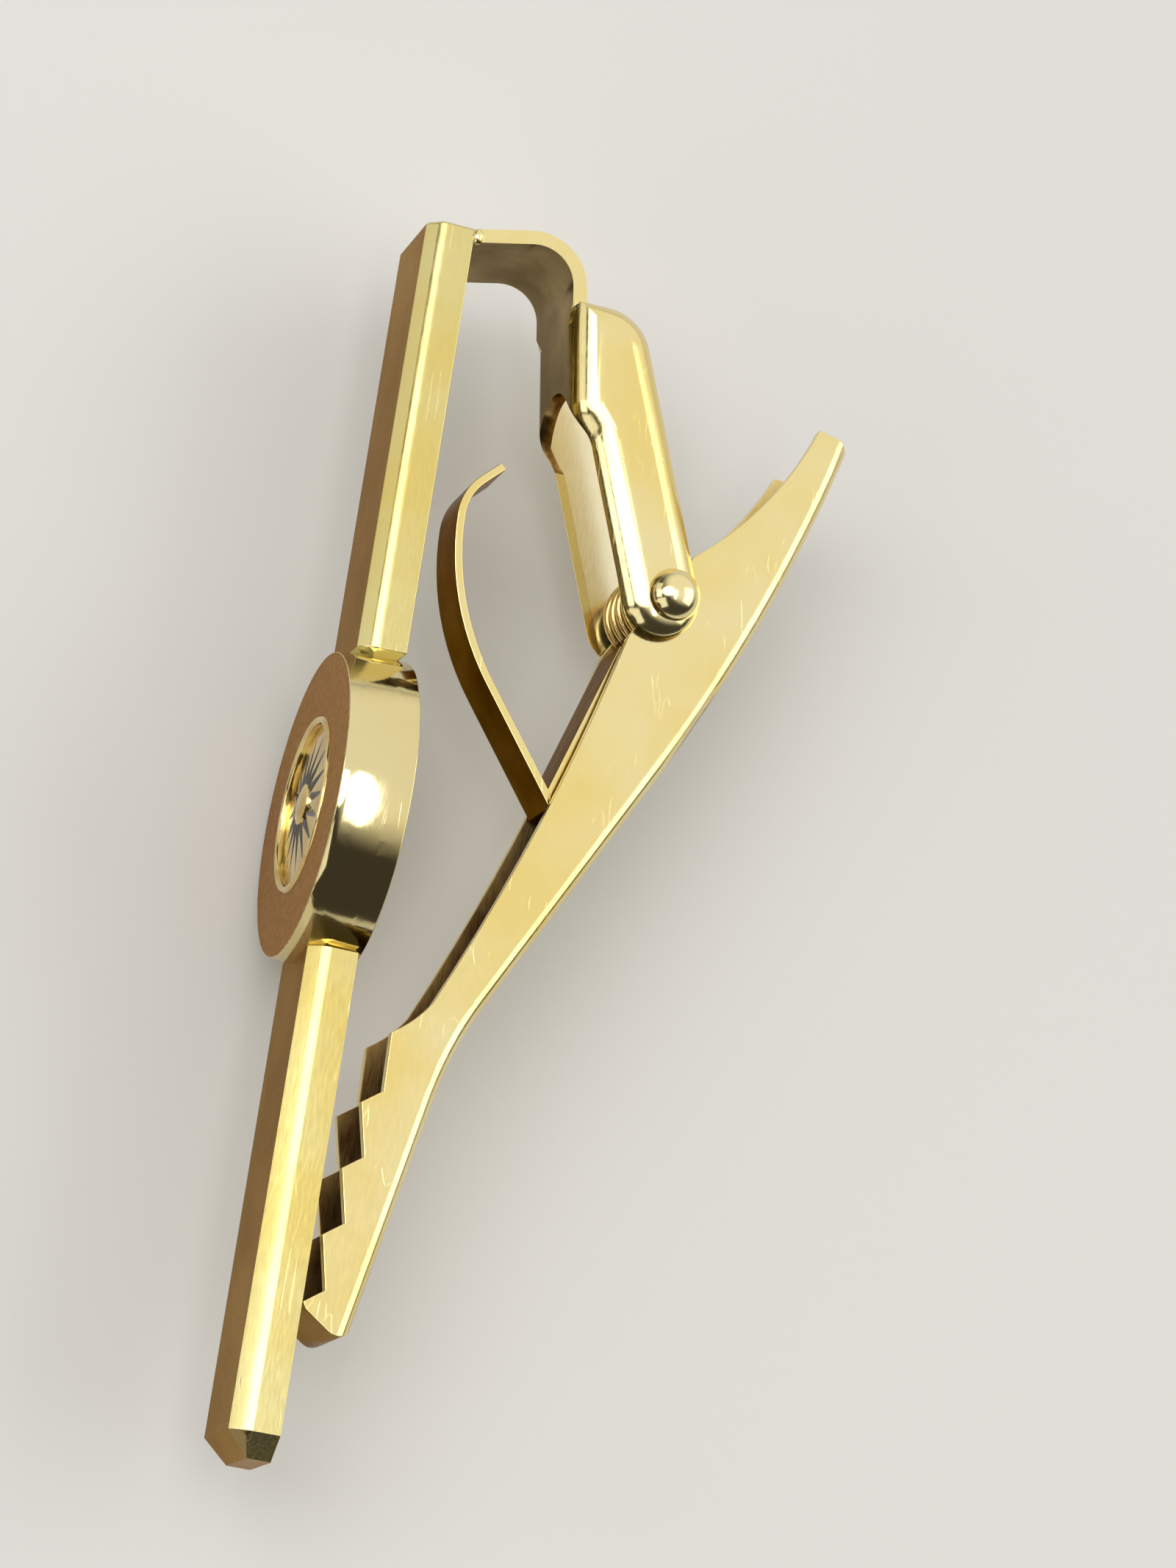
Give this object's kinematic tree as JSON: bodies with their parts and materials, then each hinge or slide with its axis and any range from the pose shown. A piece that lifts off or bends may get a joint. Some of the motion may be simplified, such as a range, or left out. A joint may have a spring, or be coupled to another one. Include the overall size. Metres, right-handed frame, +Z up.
{
  "type": "tie clip",
  "caption": "Gold-plated tie clip: bevelled bar with a round sunburst medallion, and a sprung toothed jaw that pivots in a folded yoke and opens with a thumb tail.",
  "frame": {"origin": "centre of the medallion's flat back face", "axes": "+X along the bar towards its free end, +Y from the front to the jaw, +Z up across the bar's width with the clip on its side"},
  "size_m": [0.0622, 0.0244, 0.0156],
  "materials": {
    "bar_plate": "polished gold plate with fine scratches",
    "medallion_plate": "mirror-polished wall, brushed front annulus",
    "emblem_gold": "polished relief",
    "clip_plate": "polished gold plate",
    "spring_wire": "polished plated wire"
  },
  "bodies": {
    "bar": {"upper_bar": "bar_plate", "lower_bar": "bar_plate", "medallion_case": "medallion_plate", "emblem_ring": "emblem_gold", "emblem_plate": "emblem_gold", "yoke": "clip_plate", "hinge_rivet": "clip_plate", "torsion_spring": "spring_wire"},
    "jaw": {"jaw": "clip_plate", "tie_tongue": "clip_plate"}
  },
  "joints": [
    {"name": "jaw_pivot", "type": "hinge", "parent": "bar", "child": "jaw", "pos_m": [-0.01353, 0.01245, 0], "axis": [0, 0, 1], "range_deg": [0, 28], "stiffness_Nm_per_rad": 0.05, "springref_deg": -57.3, "deforming": ["torsion_spring"]}
  ]
}
